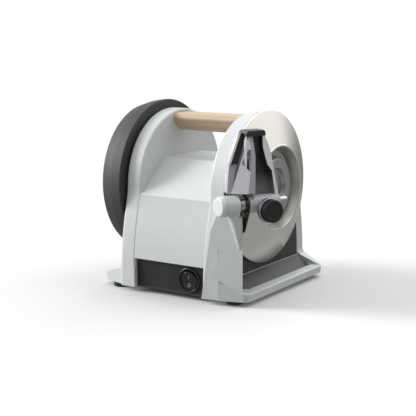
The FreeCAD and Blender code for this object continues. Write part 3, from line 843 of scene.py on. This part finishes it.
@dataclass
class GrindingSide(Assembly):
    """The dished diamond wheel and the hand nut that clamps it."""

    rim_radius: float = 75.0
    dish_radius: float = 41.5
    bore_radius: float = 6.0
    nut_radius: float = 28.9
    nut_ribs: int = 36

    def build(self) -> None:
        """Turns the wheel and its nut."""
        low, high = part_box("diamond_wheel")
        hub = Vector((low.x, (low.y + high.y) / 2.0, (low.z + high.z) / 2.0))
        basis = axle_basis(hub, Vector((1.0, 0.0, 0.0)))
        corners = [
            (0.0, 71.5), (0.0, self.rim_radius), (3.0, self.rim_radius),
            (17.5, self.dish_radius + 0.9), (18.3, self.dish_radius), (18.0, self.dish_radius - 1.6),
            (6.0, 36.5), (6.0, 31.0), (4.6, 30.0), (4.6, self.bore_radius),
            (1.6, self.bore_radius), (1.6, 38.4), (13.8, 42.0),
        ]
        radii = [0.3, 0.5, 1.0, 0.5, 0.3, 0.8, 2.0, 0.4, 0.4, 0.0, 0.0, 1.0, 1.0]
        finish_of_corner = [2, 2, 0, 2, 2, 1, 1, 1, 1, 1, 1, 1, 1]
        steps = 4
        profile = rounded(corners, radii, steps)
        bands = [
            finish for finish, radius in zip(finish_of_corner, radii)
            for _ in range(steps + 1 if radius else 1)
        ]
        wheel = lathe(profile, 288, basis, bands)
        finishes = ["diamond_face", "dish_steel", "rim_steel"]
        self.place("diamond_wheel_turned", wheel, Body.SPINDLE, "diamond_face", finishes, "diamond_wheel")
        self._nut(hub)
        self.dress({"wheel_flange": "steel", "spindle": "steel"})

    def _nut(self, hub: Vector) -> None:
        """Turns the ribbed hand nut inside the dish.

        Args:
            hub: The wheel's centre, on its inner side.
        """
        low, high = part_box("wheel_lock_nut")
        basis = axle_basis(Vector((low.x, hub.y, hub.z)), Vector((1.0, 0.0, 0.0)))
        depth = (high.x - low.x) / MM
        corners = [
            (0.0, self.bore_radius), (0.0, self.nut_radius), (depth, self.nut_radius),
            (depth, 19.0), (depth - 4.6, 17.5), (depth - 4.6, self.bore_radius),
        ]
        profile = rounded(corners, [0.0, 0.6, 1.4, 0.8, 1.0, 0.0], 5)
        ribs = Ribs(self.nut_ribs, 1.0, 27.0)
        nut = lathe(profile, self.nut_ribs * 10, basis, ribs=ribs)
        self.place("ribbed_nut", nut, Body.SPINDLE, "nut_steel", ["nut_steel"], "wheel_lock_nut")


@dataclass
class HoningSide(Assembly):
    """The thick tapered honing wheel, its flanges and nut."""

    radius: float = 80.5

    def build(self) -> None:
        """Turns the wheel and dresses its fittings."""
        low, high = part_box("honing_wheel")
        hub = Vector((low.x, (low.y + high.y) / 2.0, (low.z + high.z) / 2.0))
        width = (high.x - low.x) / MM
        corners = [
            (0.0, 30.0), (0.0, self.radius - 9.0), (1.2, self.radius - 6.2),
            (width - 12.0, self.radius - 1.6), (width - 0.6, self.radius),
            (width, self.radius - 1.2), (width, 52.0), (width - 1.5, 50.0),
            (width - 1.5, 6.0), (2.0, 6.0), (2.0, 28.5),
        ]
        radii = [0.8, 3.0, 4.0, 20.0, 1.4, 1.0, 0.8, 0.4, 0.0, 0.0, 0.8]
        profile = rounded(corners, radii, 6)
        wheel = lathe(profile, 256, axle_basis(hub, Vector((1.0, 0.0, 0.0))))
        finishes = ["honing_compound"]
        self.place("honing_wheel_turned", wheel, Body.SPINDLE, "honing_compound", finishes, "honing_wheel")
        self.soften("honing_flanges", 0.4, Body.SPINDLE, "steel", "steel")
        self.soften("honing_nut", 0.5, Body.SPINDLE, "nut_steel", "nut_steel")


@dataclass
class Electrics(Assembly):
    """The round rocker switch, the mains inlet and the board inside."""

    bezel_radius: float = 12.2
    well_radius: float = 10.0
    key_tilt: float = 8.0
    scoop_radius: float = 22.08
    scoop_depth: float = 1.7
    mark_height: float = 0.12
    ring_place: float = -4.4
    bar_place: float = 3.4

    def build(self) -> None:
        """Builds the switch, and dresses the inlet and the board."""
        joint = next(item for item in self.frame["joints"] if item["name"] == "rocker_tip")
        pivot = Vector(joint["pos_m"])
        self._bezel(pivot)
        self.soften("rocker_key", 0.5, Body.ROCKER, "gloss_black", "gloss_black")
        self._marks(pivot)
        self.soften("power_inlet", 0.5, Body.HOUSING, "black_plastic", "black_plastic")
        self.dress({"inlet_pins": "nut_steel", "control_board": "board"})

    def _bezel(self, pivot: Vector) -> None:
        """Turns the rounded ring round the rocker.

        Args:
            pivot: The rocker's pivot.
        """
        low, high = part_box("switch_bezel")
        basis = axle_basis(Vector((pivot.x, high.y, pivot.z)), Vector((0.0, -1.0, 0.0)))
        depth = (high.y - low.y) / MM
        corners = [
            (0.0, self.well_radius), (0.0, 10.6), (depth - 1.8, 10.6),
            (depth - 1.8, self.bezel_radius), (depth, self.bezel_radius), (depth, self.well_radius),
        ]
        profile = rounded(corners, [0.0, 0.0, 0.0, 0.3, 1.3, 0.6], 6)
        bezel = lathe(profile, 96, basis)
        self.place("bezel_ring", bezel, Body.HOUSING, "gloss_black", ["gloss_black"], "switch_bezel")

    def _on_key(self, pivot: Vector, across: float, up: float, lift: float) -> Vector:
        """A point on the rocker's hollow face.

        Args:
            pivot: The rocker's pivot.
            across: Distance from the face's middle along X.
            up: Distance from the face's middle along its slope.
            lift: Height above the face.

        Returns:
            The point in the row frame.
        """
        fall = self.scoop_radius - math.sqrt(self.scoop_radius ** 2 - up ** 2)
        local = Vector((across, -self.scoop_depth - fall - lift, up)) * MM
        return pivot + Matrix.Rotation(math.radians(self.key_tilt), 3, "X") @ local

    def _marks(self, pivot: Vector) -> None:
        """Raises the off ring and the on bar from the rocker's face.

        Args:
            pivot: The rocker's pivot.
        """
        ring = bmesh.new()
        steps = 40
        loops = []
        for index in range(steps):
            turn = 2.0 * math.pi * index / steps
            loop = []
            for radius, lift in ((1.7, -0.1), (1.7, self.mark_height), (1.3, self.mark_height), (1.3, -0.1)):
                across = radius * math.cos(turn)
                up = self.ring_place + radius * math.sin(turn)
                loop.append(ring.verts.new(self._on_key(pivot, across, up, lift)))
            loops.append(loop)
        for index, loop in enumerate(loops):
            following = loops[(index + 1) % steps]
            for spot in range(4):
                other = (spot + 1) % 4
                ring.faces.new((loop[spot], loop[other], following[other], following[spot]))
        self.place("off_ring", ring, Body.ROCKER, "scale_white", ["mark_white"])
        sections = []
        for index in range(9):
            up = self.bar_place - 1.6 + 3.2 * index / 8
            corners = ((-0.3, -0.1), (-0.3, self.mark_height), (0.3, self.mark_height), (0.3, -0.1))
            sections.append([self._on_key(pivot, across, up, lift) for across, lift in corners])
        self.place("on_bar", loft(sections), Body.ROCKER, "scale_white", ["mark_white"])


@dataclass
class Drive(Assembly):
    """The bearings, gears and motor under the hood."""

    def build(self) -> None:
        """Dresses the drive's CAD nodes."""
        self.dress({
            "bearing_left": "bearing_steel", "bearing_right": "bearing_steel",
            "output_gear": "gear_steel", "layshaft": "steel", "layshaft_pinion": "gear_steel",
            "layshaft_gear": "gear_steel", "layshaft_bushes": "bronze",
            "motor_pinion": "gear_steel", "motor_rotor": "rotor_iron", "motor_can": "zinc",
            "motor_magnets": "rotor_iron", "motor_end_cap": "black_plastic",
            "gearbox_plate_left": "zinc", "gearbox_plate_right": "zinc",
            "gearbox_pillars": "steel",
        })


@dataclass
class KnifeGuide(Assembly):
    """The tilting guide, its shaft, pointer and scale, and the knob that sets it."""

    knob_along: float = 29.8
    knob_out: float = 15.3
    knob_length: float = 6.2
    knob_ribs: int = 24
    knob_radius: float = 10.75
    tick_count: int = 7
    scale_along: float = 15.9
    recess_out: Point2 = (-3.6, 4.2)
    recess_along: Point2 = (17.9, 46.0)
    recess_up: Point2 = (8.2, 62.0)
    bright_facing: float = 0.80
    slant_out: float = 0.6
    slant_along: float = -0.4
    cap_along: float = -13.0
    cap_radius: float = 9.2
    cap_side: float = 5.0
    cap_crown: float = 5.2
    cap_round: float = 5.4
    tick_half: float = 0.16
    tick_top: float = 47.4
    tick_pitch: float = 1.1
    tick_middle: float = 0.9
    tick_long: float = 3.4
    tick_short: float = 2.2
    tick_sunk: float = 0.12
    tick_proud: float = 0.05

    def build(self) -> None:
        """Builds the guide's pieces."""
        tilt = next(item for item in self.frame["joints"] if item["name"] == "guide_tilt")
        turn = next(item for item in self.frame["joints"] if item["name"] == "knob_turn")
        self.hinge = Vector(tilt["axis"]).normalized()
        self.outward = Vector(turn["axis"]).normalized()
        pivot = Vector(tilt["pos_m"])
        knob_centre = Vector(turn["pos_m"])
        shift = (knob_centre - pivot).dot(self.hinge) - self.knob_along * MM
        self.origin = pivot + self.hinge * shift
        self._casting()
        self.soften("guide_saddle", 0.6, Body.GUIDE, "black_plastic", "saddle_plastic")
        self.soften("guide_foot_pad", 0.3, Body.GUIDE, "black_plastic", "saddle_plastic")
        self.soften("angle_pointer", 0.4, Body.HOUSING, "black_plastic", "saddle_plastic")
        self._cap()
        self._knob(knob_centre)
        self._ticks()
        self.dress({
            "guide_shaft": "nut_steel", "thrust_washers": "nut_steel", "shaft_nut": "nut_steel",
            "scale_plate": "scale_white", "knob_collar": "zinc", "knob_screw": "steel",
        })

    def local(self, out: float, along: float, up: float) -> Vector:
        """A point from guide sizes.

        Args:
            out: Distance from the hinge line, away from the wheel, in millimetres.
            along: Distance along the hinge line.
            up: Height above the hinge line.

        Returns:
            The point in the row frame.
        """
        spot = self.outward * (out * MM) + self.hinge * (along * MM)
        return self.origin + spot + Vector((0.0, 0.0, up * MM))

    def _casting_finish(self, face: bmesh.types.BMFace) -> int:
        """Which finish a face of the die casting takes.

        Args:
            face: The face.

        Returns:
            0 for plain, 1 for painted shade in the recess, 2 for painted light on the outer faces.
        """
        spot = face.calc_center_median() - self.origin
        out, along, up = spot.dot(self.outward) / MM, spot.dot(self.hinge) / MM, spot.z / MM
        low, high = self.recess_up
        inside = self.recess_out[0] < out < self.recess_out[1]
        beside = self.recess_along[0] < along < self.recess_along[1]
        # faces inside the recess box take the painted shade finish
        if low < up < high and inside and beside:
            return 1
        # outward faces that slant or front the ribs take a lighter copy of the paint: painted light
        facing = face.normal.dot(self.outward)
        slanting = facing > self.slant_out and face.normal.dot(self.hinge) < self.slant_along
        on_rib = along > self.recess_along[0] and facing > self.bright_facing
        return 2 if up > low and (slanting or on_rib) else 0

    def _casting(self) -> None:
        """Rounds over the die casting and gives each face plain paint, painted shade or painted light."""
        shape = softened(self.node("guide_frame"), 0.5)
        shape.normal_update()
        for face in shape.faces:
            face.material_index = self._casting_finish(face)
        finishes = ["guide_paint", "recess_paint", "guide_bright"]
        self.place(
            "guide_frame_cast", shape, Body.GUIDE, "die_cast_zinc", finishes, "guide_frame",
            weighted=True,
        )

    def _cap(self) -> None:
        """Turns the domed cap on the shaft's near end."""
        basis = axle_basis(self.local(0.0, self.cap_along, 0.0), -self.hinge)
        radius = self.cap_radius
        corners = [(0.0, 0.0), (0.0, radius), (self.cap_side, radius), (self.cap_crown, 0.0)]
        profile = rounded(corners, [0.0, 0.4, self.cap_round, 0.0], 12)
        cap = lathe(profile, 96, basis)
        self.place("domed_cap", cap, Body.HOUSING, "white_paint", ["cap_white"], "shaft_cap")

    def _knob(self, centre: Vector) -> None:
        """Turns the ribbed knob.

        Args:
            centre: A point on the knob's axis.
        """
        reach = (centre - self.origin).dot(self.outward)
        start = centre + self.outward * (self.knob_out * MM - reach)
        radius, length = self.knob_radius, self.knob_length
        corners = [
            (0.0, 0.0), (0.0, radius), (length, radius),
            (length, radius - 2.6), (length - 0.5, radius - 3.2), (length - 0.4, 0.0),
        ]
        profile = rounded(corners, [0.0, 0.5, 1.8, 0.5, 0.5, 0.0], 6)
        ribs = Ribs(self.knob_ribs, 0.35, radius - 0.8)
        knob = lathe(profile, self.knob_ribs * 10, axle_basis(start, self.outward), ribs=ribs)
        self.place("ribbed_knob", knob, Body.KNOB, "black_plastic", ["knob_plastic"], "angle_knob")

    def _ticks(self) -> None:
        """Raises the angle marks on the scale plate, the middle one longest."""
        shape = bmesh.new()
        half, top = self.tick_half, self.tick_top
        for index in range(self.tick_count):
            offset = index - self.tick_count // 2
            length = self.tick_long if offset == 0 else self.tick_short
            out = offset * self.tick_pitch + self.tick_middle
            sides = ((-half, top), (half, top), (half, top - length), (-half, top - length))
            near, far = (
                [shape.verts.new(self.local(out + side, along, up)) for side, up in sides]
                for along in (self.scale_along - self.tick_sunk, self.scale_along + self.tick_proud)
            )
            shape.faces.new(near)
            shape.faces.new(far)
            for spot in range(4):
                other = (spot + 1) % 4
                shape.faces.new((near[spot], near[other], far[other], far[spot]))
        self.place("scale_ticks", shape, Body.GUIDE, "black_plastic", ["saddle_plastic"])


# --- the studio ----------------------------------------------------------------------
@dataclass
class Studio:
    """A pale floor, soft light from the left and above, and the camera."""

    wheel_axis: Vector
    azimuth: float = 33.05
    elevation: float = 10.18
    distance: float = 1.05
    lens: float = 93.9
    aim_offset: Point3 = (-0.04025, -0.04426, -0.0186)
    floor_size: float = 12.0

    def build(self) -> None:
        """Makes the floor, the lights, the surroundings and the camera."""
        bpy.context.scene.view_settings.view_transform = "Standard"
        self.aim = self.wheel_axis + Vector(self.aim_offset)
        self._floor()
        self._surroundings()
        self._sun("key", (-1.8, -0.75, 0.82), 26.0, 3.2)
        self._sun("rear", (0.25, 1.0, 1.1), 70.0, 1.7)
        self._card("dark_card", [(-0.80, 0.55), (0.22, 0.55)], (-0.1, 0.17), 0.05)
        self._card("bright_card", [(0.15, 1.25), (1.55, 0.45)], (0.36, 1.40), 1.05)
        self._camera()

    def _sheet(
        self, name: str, points: Sequence[Point3], shader: Shader
    ) -> bpy.types.Object:
        """Adds one flat face to the stage.

        Args:
            name: Its name.
            points: Its corners in order.
            shader: Its material's shader.

        Returns:
            The new object.
        """
        shape = bmesh.new()
        shape.faces.new([shape.verts.new(point) for point in points])
        mesh = bpy.data.meshes.new(name)
        shape.to_mesh(mesh)
        shape.free()
        mesh.materials.append(shader.owner)
        sheet = bpy.data.objects.new(name, mesh)
        bpy.context.scene.collection.objects.link(sheet)
        return sheet

    def _floor(self) -> None:
        """A wide pale floor that looks darker in the metal than to the eye."""
        shader = Shader.material("floor")
        mottle = shader.noise(shader.place(), 3.0)
        pale = shader.ramp(mottle, [(0.3, (0.68, 0.68, 0.68)), (0.7, (0.69, 0.69, 0.69))])
        matt = shader.add("ShaderNodeBsdfDiffuse", sockets={"Color": pale})
        dim = shader.add("ShaderNodeEmission", sockets={"Color": (0.36, 0.355, 0.35, 1.0)})
        eye = shader.add("ShaderNodeLightPath", output="Is Camera Ray")
        mixed = shader.add("ShaderNodeMixShader", sockets={0: eye, 1: dim, 2: matt})
        shader.add("ShaderNodeOutputMaterial", sockets={"Surface": mixed})
        half = self.floor_size
        corners = [(-half, -half, 0.0), (half, -half, 0.0), (half, half, 0.0), (-half, half, 0.0)]
        self._sheet("floor", corners, shader)

    def _surroundings(self) -> None:
        """Light from all round, strongest from the left and above, white to the eye."""
        world = bpy.data.worlds.new("studio")
        bpy.context.scene.world = world
        shader = Shader(world)
        direction = shader.add("ShaderNodeTexCoord", output="Generated")
        x, y, z = shader.split(direction)
        side = x * -0.45 + y * -0.10 + z * 0.80
        light = shader.ramp(side * 0.5 + 0.5, [
            (0.30, (0.16, 0.16, 0.165)), (0.60, (0.52, 0.52, 0.53)), (0.90, (0.92, 0.92, 0.915)),
        ])
        seen = shader.add("ShaderNodeBackground", sockets={"Color": (1.0, 1.0, 1.0, 1.0)})
        lit = shader.add("ShaderNodeBackground", sockets={"Color": light})
        eye = shader.add("ShaderNodeLightPath", output="Is Camera Ray")
        mixed = shader.add("ShaderNodeMixShader", sockets={0: eye, 1: lit, 2: seen})
        shader.add("ShaderNodeOutputWorld", sockets={"Surface": mixed})

    @staticmethod
    def _sun(name: str, toward: Point3, spread: float, strength: float) -> None:
        """Adds a soft distant light.

        Args:
            name: Its name.
            toward: The direction it stands in.
            spread: Its width across the sky, in degrees.
            strength: Its strength, in watts per square metre.
        """
        lamp = bpy.data.lights.new(name, "SUN")
        lamp.angle = math.radians(spread)
        lamp.energy = strength
        light = bpy.data.objects.new(name, lamp)
        light.rotation_euler = Vector(toward).to_track_quat("Z", "Y").to_euler()
        bpy.context.scene.collection.objects.link(light)

    def _card(
        self, name: str, ends: Sequence[Point2], heights: Point2, brightness: float
    ) -> None:
        """An upright card that only shows in the metal.

        Args:
            name: Its name.
            ends: Where its two upright edges stand.
            heights: Its lower and upper edge.
            brightness: How bright it is.
        """
        shader = Shader.material(name)
        colour = (brightness, brightness, brightness * 0.985, 1.0)
        glow = shader.add("ShaderNodeEmission", sockets={"Color": colour})
        shader.add("ShaderNodeOutputMaterial", sockets={"Surface": glow})
        (x0, y0), (x1, y1) = ends
        low, high = heights
        card = self._sheet(name, [(x0, y0, low), (x1, y1, low), (x1, y1, high), (x0, y0, high)], shader)
        card.visible_camera = False
        card.visible_diffuse = False
        card.visible_shadow = False

    def _camera(self) -> None:
        """The camera, level and without shift."""
        turn = math.radians(self.azimuth)
        rise = math.radians(self.elevation)
        back = Vector((
            math.sin(turn) * math.cos(rise), -math.cos(turn) * math.cos(rise), math.sin(rise)
        ))
        data = bpy.data.cameras.new("camera")
        data.lens = self.lens
        data.sensor_width = SENSOR_WIDTH
        data.clip_start = 0.05
        data.clip_end = 60.0
        camera = bpy.data.objects.new("camera", data)
        camera.location = self.aim + back * self.distance
        camera.rotation_euler = (-back).to_track_quat("-Z", "Y").to_euler()
        bpy.context.scene.collection.objects.link(camera)
        bpy.context.scene.camera = camera


def make_finishes() -> dict[str, bpy.types.Material]:
    """Every finish on the machine, by name.

    Returns:
        The materials.
    """
    low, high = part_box("diamond_wheel")
    axle = (low + high) / 2.0
    kinds = {
        "white_paint": PowderCoat(),
        "cap_white": PowderCoat(colour=(0.70, 0.72, 0.73), roughness=0.30),
        "guide_paint": PowderCoat(colour=(0.50, 0.50, 0.53), roughness=0.34),
        # painted light: a lighter copy of guide_paint for the faces turned towards the light
        "guide_bright": PowderCoat(colour=(0.88, 0.885, 0.92), roughness=0.34),
        # painted shade: the guide's recess darkened as if in shadow, paler towards its bottom
        "recess_paint": RecessPaintedShade(low=0.103, high=0.124),
        "panel_plastic": Moulded(colour=(0.009, 0.0095, 0.010), roughness=0.50),
        "black_plastic": Moulded(),
        "saddle_plastic": Moulded(colour=(0.020, 0.021, 0.023), roughness=0.36),
        "knob_plastic": Moulded(colour=(0.006, 0.006, 0.0065), roughness=0.52),
        "gloss_black": Moulded(colour=(0.012, 0.012, 0.013), roughness=0.22, depth=0.00001),
        "rubber": Moulded(colour=(0.018, 0.018, 0.018), roughness=0.75),
        "board": Moulded(colour=(0.02, 0.16, 0.06), roughness=0.35),
        "mark_white": Moulded(colour=(0.34, 0.35, 0.36), roughness=0.40, dust=0.05),
        "scale_white": Moulded(colour=(0.62, 0.62, 0.62), roughness=0.45, dust=0.05),
        "dark_sheet": CastMetal(colour=(0.035, 0.036, 0.038), metallic=0.0, roughness=0.48),
        "zinc": CastMetal(colour=(0.52, 0.53, 0.54), roughness=0.42),
        "steel": CastMetal(colour=(0.60, 0.60, 0.59), roughness=0.30),
        "nut_steel": CastMetal(colour=(0.50, 0.50, 0.50), roughness=0.34),
        "gear_steel": CastMetal(colour=(0.42, 0.42, 0.43), roughness=0.36),
        "bearing_steel": CastMetal(colour=(0.58, 0.58, 0.60), roughness=0.24),
        "bronze": CastMetal(colour=(0.62, 0.40, 0.18), roughness=0.36),
        "rotor_iron": CastMetal(colour=(0.16, 0.16, 0.17), roughness=0.50),
        "diamond_face": Turned(
            axle, colour=(0.80, 0.785, 0.745), roughness=0.36, ring=2600.0, depth=0.000006,
            contrast=0.02,
        ),
        "dish_steel": Turned(axle, colour=(0.55, 0.55, 0.53), roughness=0.36, contrast=0.04),
        "rim_steel": Turned(axle, colour=(0.82, 0.81, 0.77), roughness=0.26),
        "honing_compound": Turned(
            axle, colour=(0.036, 0.037, 0.039), metallic=0.0, roughness=0.62, ring=700.0,
            depth=0.00004, contrast=0.10,
        ),
        "beech": Beech(),
    }
    return {name: kind.build(name) for name, kind in kinds.items()}


def corners(bounds: tuple[Vector, Vector]) -> list[list[float]]:
    """Bounds as plain lists of numbers."""
    return [list(bounds[0]), list(bounds[1])]


def main() -> None:
    """Loads the frame, builds every sub-assembly in order and sets up the studio."""
    logging.basicConfig(level=logging.INFO, format="%(name)s %(message)s")
    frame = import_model()
    finishes = make_finishes()
    order = (Castings, Feet, Handle, GrindingSide, HoningSide, Electrics, Drive, KnifeGuide)
    for kind in order:
        kind(frame, finishes).build()
    spin = next(item for item in frame["joints"] if item["name"] == "spindle_spin")
    Studio(Vector(spin["pos_m"])).build()


if __name__ == "__main__":
    main()
